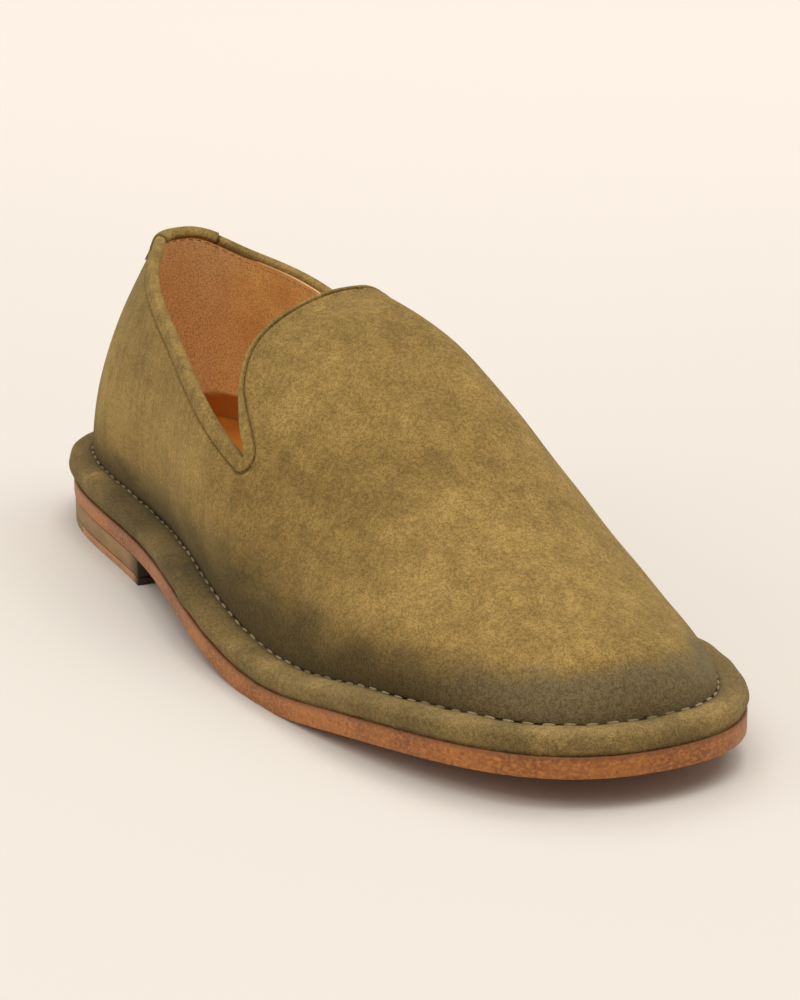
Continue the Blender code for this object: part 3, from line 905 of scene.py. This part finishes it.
# %% Stitches of the lining
LINING_STITCH = {"length": 1.7, "thick": 0.5, "sink": 0.05}
LINING_STITCHES = 86
SEWN_STEPS = COLLAR_STEPS - 8
top_row = RIB_STEPS + TOP_STEPS - 5
lining_line = np.concatenate((inner_lining[SEWN_STEPS::-1, top_row], outer_lining[1:SEWN_STEPS, top_row]))
lining_face = np.concatenate((
    lining_normals[len(lining_normals) - 1 - SEWN_STEPS:, top_row], lining_normals[1:SEWN_STEPS, top_row]))
lining_stitches = stitch_row("lining_stitches", lining_line, -lining_face, LINING_STITCHES, **LINING_STITCH)
belongs(lining_stitches, "insole_leather")

# %% [markdown]
# ## Sole and heel
# The leather sole, the stacked lift, the top piece and its rubber quarter have the right shape already.
# What they lack is the worn round of a real edge, so each is copied, merged and bevelled. A crisp edge is
# what gives a computer model away.

# %% Bevelled copies of the sole pieces
SHARP_ANGLE = np.radians(50.0)
SMOOTH_ANGLE = np.radians(40.0)
BREAST_ZONE = (HEEL_BREAST - 0.9, HEEL_BREAST - 0.2)


def bevelled_copy(node, name, width):
    """Copy of a node with its edges rounded."""
    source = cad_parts[node]
    bpy.ops.object.select_all(action="DESELECT")
    piece = source.copy()
    piece.data = source.data.copy()
    piece.name = name
    piece.data.name = name
    for key in list(piece.keys()):
        del piece[key]
    piece.parent = None
    bpy.context.scene.collection.objects.link(piece)
    piece.select_set(True)
    bpy.context.view_layer.objects.active = piece
    bpy.ops.object.mode_set(mode="EDIT")
    bpy.ops.mesh.select_all(action="SELECT")
    bpy.ops.mesh.remove_doubles(threshold=NODE_MERGE)
    bpy.ops.mesh.tris_convert_to_quads()
    bpy.ops.object.mode_set(mode="OBJECT")
    edge = piece.modifiers.new("worn_edge", "BEVEL")
    edge.width = width * MM
    edge.segments = 3
    edge.limit_method = "ANGLE"
    edge.angle_limit = SHARP_ANGLE
    bpy.ops.object.modifier_apply(modifier=edge.name)
    bpy.ops.object.shade_smooth_by_angle(angle=SMOOTH_ANGLE)
    return piece


def corner_places(piece):
    """Corners of a piece in the millimetres of the tables."""
    flat = np.empty(len(piece.data.vertices) * 3)
    piece.data.vertices.foreach_get("co", flat)
    return flat.reshape(-1, 3) / MM + CENTRE


SOLE_EDGE = 0.7
outsole = bevelled_copy("outsole", "leather_outsole", SOLE_EDGE)
places = corner_places(outsole)
over_floor = sole_height(places[:, 0])
under = np.maximum(over_floor - sole_value(places[:, 0], "thickness"), 0.0)
set_value(outsole, "share_up", np.clip((places[:, 2] - under) / (over_floor - under), 0.0, 1.0))
belongs(outsole, "sole_leather", "outsole")
HEEL_PIECES = named_rows(("node", "name", "edge", "slot"), (
    ("heel_lift", "heel_lift_stack", 0.35, "lift_leather"),
    ("top_piece", "heel_top_piece", 0.3, "sole_leather"),
    ("heel_quarter", "heel_rubber_quarter", 0.3, "quarter_rubber"),
))
heel_pieces = []
for row in HEEL_PIECES:
    piece = bevelled_copy(row["node"], row["name"], row["edge"])
    set_value(piece, "breast", ease(*BREAST_ZONE, corner_places(piece)[:, 0]))
    belongs(piece, row["slot"], row["node"])
    heel_pieces.append(piece)

# %% [markdown]
# ## Finishes
# Each finish is a small tree of nodes that reads the piece's own coordinates and the values kept on its
# corners. Painted pictures would need unwrapping and would blur up close; these patterns stay sharp. The
# helpers below only save typing: one adds a node and fills its sockets, the others are the few patterns
# used again and again.


# %% Helpers for finishes
def plug(tree, value, socket):
    """Links an output to a socket, or sets a plain value on it."""
    if isinstance(value, bpy.types.NodeSocket):
        tree.links.new(value, socket)
    elif isinstance(value, tuple) and len(value) == 3 and socket.type == "RGBA":
        socket.default_value = (*value, 1.0)
    else:
        socket.default_value = value


def shader_socket(tree, name):
    return tree.nodes["Principled BSDF"].inputs[name]


def new_finish(name, *pieces, roughness, **sockets):
    """Adds a finish, gives it to pieces in place of any they had, and returns its tree."""
    material = bpy.data.materials.new(name)
    material.use_nodes = True
    tree = material.node_tree
    plug(tree, roughness, shader_socket(tree, "Roughness"))
    for socket, value in sockets.items():
        plug(tree, value, shader_socket(tree, socket.replace("_", " ")))
    for piece in pieces:
        piece.data.materials.clear()
        piece.data.materials.append(material)
        print(piece.name, "is finished in", name)
    return tree


def node_with(tree, kind, sockets):
    """Adds a node and fills its sockets."""
    node = tree.nodes.new("ShaderNode" + kind)
    for socket, value in sockets.items():
        plug(tree, value, node.inputs[socket])
    return node


def noise(tree, scale, detail=3.0, rough=0.55, stretch=(1.0, 1.0, 1.0), twist=0.0):
    """Cloudy pattern in the piece's own coordinates. The scale is in waves per metre."""
    place = tree.nodes.new("ShaderNodeTexCoord").outputs["Object"]
    turned = node_with(tree, "Mapping", {"Vector": place, "Scale": stretch, "Rotation": (0.0, 0.0, twist)})
    texture = node_with(tree, "TexNoise", {
        "Vector": turned.outputs["Vector"], "Scale": scale, "Detail": detail, "Roughness": rough})
    return texture.outputs["Fac"]


def stored(tree, name):
    """A value kept on the corners of the piece."""
    node = tree.nodes.new("ShaderNodeAttribute")
    node.attribute_name = name
    return node.outputs["Fac"]


def sums(tree, operation, first, second):
    node = node_with(tree, "Math", {0: first, 1: second})
    node.operation = operation
    return node.outputs[0]


def weighed(tree, *parts):
    """Sum of patterns, each times its weight."""
    total = sums(tree, "MULTIPLY", *parts[0])
    for pattern, weight in parts[1:]:
        total = sums(tree, "ADD", total, sums(tree, "MULTIPLY", pattern, weight))
    return total


def fit(tree, value, low, high, to_low=0.0, to_high=1.0):
    """Stretches a range of values to another, softly."""
    node = node_with(tree, "MapRange", {
        "Value": value, "From Min": low, "From Max": high, "To Min": to_low, "To Max": to_high})
    node.interpolation_type = "SMOOTHSTEP"
    return node.outputs["Result"]


def tint(tree, share, first, second, way="MIX"):
    """Mixes two colours by a share. Of the node's many sockets, inputs 6 and 7 and output 2 are colours."""
    node = tree.nodes.new("ShaderNodeMix")
    node.data_type = "RGBA"
    node.blend_type = way
    for socket, value in ((0, share), (6, first), (7, second)):
        plug(tree, value, node.inputs[socket])
    return node.outputs[2]


def shaded(tree, colour, value):
    """The colour made lighter or darker by a number."""
    node = node_with(tree, "CombineColor", {"Red": value, "Green": value, "Blue": value})
    return tint(tree, 1.0, colour, node.outputs[0], "MULTIPLY")


def laid_over(tree, colour, *layers):
    """Lays colours over one another, each where its value goes from low to high, up to a share."""
    for value, low, high, share, second in layers:
        colour = tint(tree, fit(tree, value, low, high, 0.0, share), colour, second)
    return colour


def paint(tree, colour):
    tree.links.new(colour, shader_socket(tree, "Base Color"))


def relief(tree, height, depth, strength):
    """Bump of a depth in millimetres."""
    node = node_with(tree, "Bump", {"Height": height, "Distance": depth * MM, "Strength": strength})
    tree.links.new(node.outputs["Normal"], shader_socket(tree, "Normal"))


# %% [markdown]
# ### Olive suede
# Suede is a nap of short fibres. Stroked one way it turns light, stroked the other way dark, so it shows
# broad clouds, smaller strokes and a fine speckle. It has no gloss, only a soft sheen where it turns away
# from the eye. The dye and shade value darkens it round the toe, with dye, and along the crease, with dye
# and painted shade.

# %% Suede of the upper
SUEDE_DEPTH = 0.4
SUEDE = {"light": (0.335, 0.213, 0.063), "middle": (0.255, 0.160, 0.045), "dark": (0.200, 0.125, 0.035)}
# Dark band colours: the side one is dye and painted shade in the crease, the toe one is dye.
SIDE_DYE_AND_SHADE = (0.074, 0.048, 0.016)
TOE_DYE = (0.145, 0.105, 0.048)
# Painted shade: a dark line in the groove beside the binding and beside the tab's cut end.
PAINTED_SEAM_SHADE = (0.06, 0.042, 0.02)
SUEDE_GLOSS = {
    "roughness": 0.95,
    "Specular_IOR_Level": 0.12,
    "Sheen_Weight": 0.18,
    "Sheen_Roughness": 0.45,
    "Sheen_Tint": (0.80, 0.70, 0.36),
}


def speckled(tree, colour):
    """Fine grain of suede: a speckle in the colour and the same speckle as relief."""
    speckle = noise(tree, 2300.0, 2.0, 0.65)
    nap = noise(tree, 900.0, 3.0, 0.6)
    shade = fit(tree, weighed(tree, (speckle, 0.6), (nap, 0.4)), 0.38, 0.62, 0.70, 1.30)
    paint(tree, shaded(tree, colour, shade))
    relief(tree, weighed(tree, (speckle, 1.0), (nap, 0.6)), SUEDE_DEPTH, 0.7)


tree = new_finish("olive_suede", upper, **SUEDE_GLOSS)
clouds = noise(tree, 26.0, 3.0, 0.55, (1.0, 1.3, 1.3), 0.5)
strokes = noise(tree, 110.0, 3.0, 0.5, (0.5, 1.2, 1.2), 0.6)
brush = noise(tree, 560.0, 2.0, 0.5, (0.25, 1.0, 1.0), -0.5)
combed = sums(tree, "SUBTRACT", noise(tree, 240.0, 3.0, 0.55, (1.0, 1.0, 0.22)), 0.44)
# The tone value adds brushed spots and painted light and shade to the nap's own clouds.
cover = weighed(
    tree, (clouds, 0.42), (strokes, 0.40), (brush, 0.12), (combed, 0.42), (stored(tree, "tone_and_painted_light"), 0.16))
# Dark band: dye round the toe, and painted shade along the crease.
ragged = weighed(tree, (stored(tree, "dye_and_crease_shade"), 1.0), (strokes, 0.7), (clouds, 0.3))
dye_and_shade = tint(tree, stored(tree, "toe_part"), SIDE_DYE_AND_SHADE, TOE_DYE)
speckled(tree, laid_over(
    tree, SUEDE["dark"],
    (cover, 0.34, 0.5, 1.0, SUEDE["middle"]),
    (cover, 0.48, 0.68, 1.0, SUEDE["light"]),
    (ragged, 0.68, 1.32, 1.0, dye_and_shade),
    # Painted shade in the groove beside the binding.
    (stored(tree, "beside"), 0.95, 0.1, 0.62, PAINTED_SEAM_SHADE)))

# %% Suede of the binding and tab
tree = new_finish("trim_suede", binding, tab, **SUEDE_GLOSS)
# Painted shadow of the tab's cut end, a dark line on the binding beside it.
from_cut = sums(tree, "ABSOLUTE", sums(tree, "SUBTRACT", stored(tree, "past_tab"), 0.2), 0.0)
speckled(tree, laid_over(
    tree, (0.19, 0.121, 0.034),
    (noise(tree, 150.0, 4.0, 0.6), 0.34, 0.66, 1.0, (0.285, 0.181, 0.052)),
    (from_cut, 1.1, 0.3, 0.75, PAINTED_SEAM_SHADE)))

# %% Suede of the rim
tree = new_finish("rim_suede", rim, **SUEDE_GLOSS)
patches = fit(tree, noise(tree, 42.0, 4.0, 0.6), 0.35, 0.65)
rubs = noise(tree, 150.0, 4.0, 0.65)
heel_side = tint(tree, patches, (0.105, 0.070, 0.026), (0.165, 0.109, 0.038))
front_side = tint(tree, patches, (0.160, 0.107, 0.039), (0.225, 0.150, 0.052))
# Wear, with painted highlight where the rim's top is lighter.
wear_and_highlight_at = weighed(tree, (stored(tree, "tone_and_painted_light"), 0.42), (rubs, 0.9))
# The share up the rim drives painted shade: darker up in the crease and at its foot against the sole.
up_rim = stored(tree, "share_up")
speckled(tree, laid_over(
    tree, tint(tree, stored(tree, "forefoot"), heel_side, front_side),
    (wear_and_highlight_at, 0.5, 1.05, 0.9, (0.33, 0.218, 0.076)),
    (wear_and_highlight_at, 0.40, 0.05, 0.8, (0.075, 0.055, 0.026)),
    (up_rim, 0.60, 0.86, 0.85, (0.07, 0.052, 0.026)),
    (up_rim, 0.12, 0.0, 0.7, (0.06, 0.040, 0.018))))

# %% [markdown]
# ### Lining leather
# The napped half of the lining is pale and speckled, the smooth half plainer and redder, and the low strip
# is brown. Towards the heel the napped half is painted lighter, as painted light falling in from above.
# Three pieces could be cut for them, but the lining is one sheet with one finish, and the values kept on it
# say where each begins. The sock has the finish of the insole under it.

# %% Lining and insole
tree = new_finish(
    "napped_lining", lining, roughness=0.9,
    Specular_IOR_Level=0.15, Sheen_Weight=0.2, Sheen_Tint=(0.95, 0.7, 0.5))
clouds = fit(tree, noise(tree, 60.0, 3.0, 0.6), 0.3, 0.7)
speckle = noise(tree, 2200.0, 3.0, 0.65)
napped = tint(tree, clouds, (0.80, 0.42, 0.115), (0.99, 0.66, 0.225))
# Painted light: the napped lining lighter towards the heel.
napped = tint(tree, sums(tree, "MULTIPLY", stored(tree, "heel_painted_light"), 0.8), napped, (1.0, 0.78, 0.42))
napped = shaded(tree, napped, fit(tree, speckle, 0.36, 0.64, 0.70, 1.20))
smooth = tint(tree, clouds, (0.64, 0.28, 0.06), (0.74, 0.34, 0.085))
colour = tint(tree, stored(tree, "smooth_part"), napped, smooth)
colour = tint(tree, stored(tree, "low_part"), colour, (0.50, 0.175, 0.02))
paint(tree, laid_over(tree, colour, (stored(tree, "below_top"), 1.1, 0.3, 0.5, (0.92, 0.56, 0.30))))
relief(tree, speckle, 0.4, 0.6)

tree = new_finish("insole_leather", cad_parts["insole"], sock, roughness=0.55)
clouds = fit(tree, noise(tree, 45.0, 3.0, 0.6), 0.3, 0.7)
paint(tree, tint(tree, clouds, (0.44, 0.15, 0.015), (0.56, 0.20, 0.025)))
relief(tree, noise(tree, 1500.0, 2.0, 0.6), 0.15, 0.5)

# %% [markdown]
# ### Threads, sole leather and rubber
# Thread is pale where it is clean and browner where it is soiled. The sole is waxed leather with stains and
# a fine grain, and shade is painted as a dark line along its top under the rim. The heel layers have
# streaks along their edge and a dark breast, the face that looks forward. One loop finishes all three,
# because only their colours and gloss differ.

# %% Threads
tree = new_finish("pale_thread", crease_stitches, roughness=0.8)
strands = fit(tree, noise(tree, 2400.0, 1.0, 0.5), 0.3, 0.7, 0.8, 1.15)
soil = fit(tree, noise(tree, 55.0, 2.0, 0.5), 0.35, 0.65)
paint(tree, shaded(tree, tint(tree, soil, (0.19, 0.14, 0.064), (0.33, 0.25, 0.125)), strands))
tree = new_finish("lining_thread", lining_stitches, roughness=0.8)
strands = fit(tree, noise(tree, 2400.0, 1.0, 0.5), 0.3, 0.7)
paint(tree, tint(tree, strands, (0.42, 0.17, 0.06), (0.58, 0.29, 0.13)))

# %% Sole leather, lift and rubber
HEEL_COLOURS = named_rows(("name", "roughness", "low", "high", "streak"), (
    ("lift_leather", 0.6, (0.24, 0.135, 0.045), (0.33, 0.19, 0.068), (0.20, 0.10, 0.03)),
    ("top_piece_leather", 0.55, (0.42, 0.19, 0.07), (0.52, 0.26, 0.105), (0.34, 0.14, 0.045)),
    ("quarter_rubber", 0.7, (0.26, 0.165, 0.065), (0.32, 0.205, 0.08), (0.22, 0.13, 0.05)),
))
BREAST_DARK = (0.035, 0.018, 0.009)
tree = new_finish("sole_leather", outsole, roughness=0.5)
fibres = noise(tree, 900.0, 3.0, 0.6, (1.0, 1.0, 1.6))
stains = noise(tree, 42.0, 4.0, 0.6)
grain = noise(tree, 700.0, 3.0, 0.65)
paint(tree, laid_over(
    tree, (0.21, 0.058, 0.006),
    (stains, 0.32, 0.68, 1.0, (0.40, 0.132, 0.018)),
    (fibres, 0.40, 0.68, 0.7, (0.52, 0.192, 0.034)),
    (grain, 0.54, 0.66, 0.6, (0.15, 0.046, 0.010)),
    # Painted shade: the top of the sole's edge darker under the rim.
    (stored(tree, "share_up"), 0.7, 1.0, 0.6, (0.13, 0.045, 0.012))))
relief(tree, sums(tree, "ADD", grain, fibres), 0.3, 0.5)
for piece, row in zip(heel_pieces, HEEL_COLOURS):
    tree = new_finish(row["name"], piece, roughness=row["roughness"])
    stains = noise(tree, 90.0, 3.0, 0.6, (1.0, 1.0, 3.0))
    fibres = noise(tree, 320.0, 3.0, 0.6, (1.0, 1.0, 6.0))
    colour = laid_over(
        tree, row["low"], (stains, 0.3, 0.7, 1.0, row["high"]), (fibres, 0.55, 0.8, 0.6, row["streak"]))
    paint(tree, tint(tree, stored(tree, "breast"), colour, BREAST_DARK))
    relief(tree, fibres, 0.2, 0.5)

# %% [markdown]
# ## Floor, light and camera
# The shoe stands on a seamless cream sheet under large soft lights. A studio curves such a sheet up behind
# the shoe. Here it stays flat and is only painted lighter further back, which looks the same from the
# camera. The camera looks from the front and the outer side, a little above, through a long lens.

# %% Floor
FLOOR_SIZE = 14.0
FLOOR_STEPS = 140
bpy.ops.mesh.primitive_grid_add(x_subdivisions=FLOOR_STEPS, y_subdivisions=FLOOR_STEPS, size=FLOOR_SIZE)
floor = bpy.context.object
floor.name = "floor"
ground = (corner_places(floor) - CENTRE) * MM
set_value(floor, "behind", 0.45 * ground[:, 1] - 0.89 * ground[:, 0])
tree = new_finish("cream_paper", floor, roughness=0.9, Specular_IOR_Level=0.1)
cast = fit(tree, noise(tree, 1.5, 2.0, 0.5), 0.3, 0.7)
paper = tint(tree, cast, (0.68, 0.637, 0.58), (0.695, 0.652, 0.595))
# Painted light: the far floor is painted lighter, as the lit curve of a backdrop would look.
far = fit(tree, stored(tree, "behind"), 0.0, 1.2)
paint(tree, tint(tree, far, paper, (0.83, 0.755, 0.70)))

# %% Light
SHOE_AT = (0.0, 0.0, 0.03)
LAMPS = named_rows(("name", "place", "target", "size", "power"), (
    ("right_box", (0.5, 0.7, 2.2), SHOE_AT, 1.8, 25.0),
    ("left_box", (0.9, -1.0, 2.2), SHOE_AT, 1.8, 22.0),
    ("side_box", (-0.4, -1.9, 1.1), SHOE_AT, 1.2, 6.0),
    ("backdrop_box", (-1.5, 0.75, 2.2), (-1.0, 0.5, 0.0), 1.6, 18.0),
))
world = bpy.data.worlds.new("soft_studio")
bpy.context.scene.world = world
world.use_nodes = True
sky = world.node_tree.nodes["Background"]
sky.inputs["Color"].default_value = (1.0, 0.96, 0.915, 1.0)
sky.inputs["Strength"].default_value = 0.52


def turn_to(place, target):
    """Rotation of a lamp or camera that looks from a place at a target."""
    return (Vector(target) - Vector(place)).to_track_quat("-Z", "Y").to_euler()


for row in LAMPS:
    bpy.ops.object.light_add(type="AREA", location=row["place"])
    lamp = bpy.context.object
    lamp.name = row["name"]
    lamp.data.shape = "SQUARE"
    lamp.data.size = row["size"]
    lamp.data.energy = row["power"]
    lamp.data.color = (1.0, 0.98, 0.955)
    lamp.rotation_euler = turn_to(row["place"], row["target"])
print(len(LAMPS), "soft boxes")

# %% Camera
SHOE_HEART = (0.012, 0.0048, 0.036)
CAMERA_PLACE = (0.7953, -0.4044, 0.2885)
bpy.ops.object.camera_add(location=CAMERA_PLACE)
camera = bpy.context.object
camera.data.lens = 132.0
camera.data.sensor_width = 36.0
camera.rotation_euler = turn_to(CAMERA_PLACE, SHOE_HEART)
bpy.context.scene.camera = camera
bpy.context.scene.view_settings.view_transform = "Standard"
print("camera with a", camera.data.lens, "mm lens")
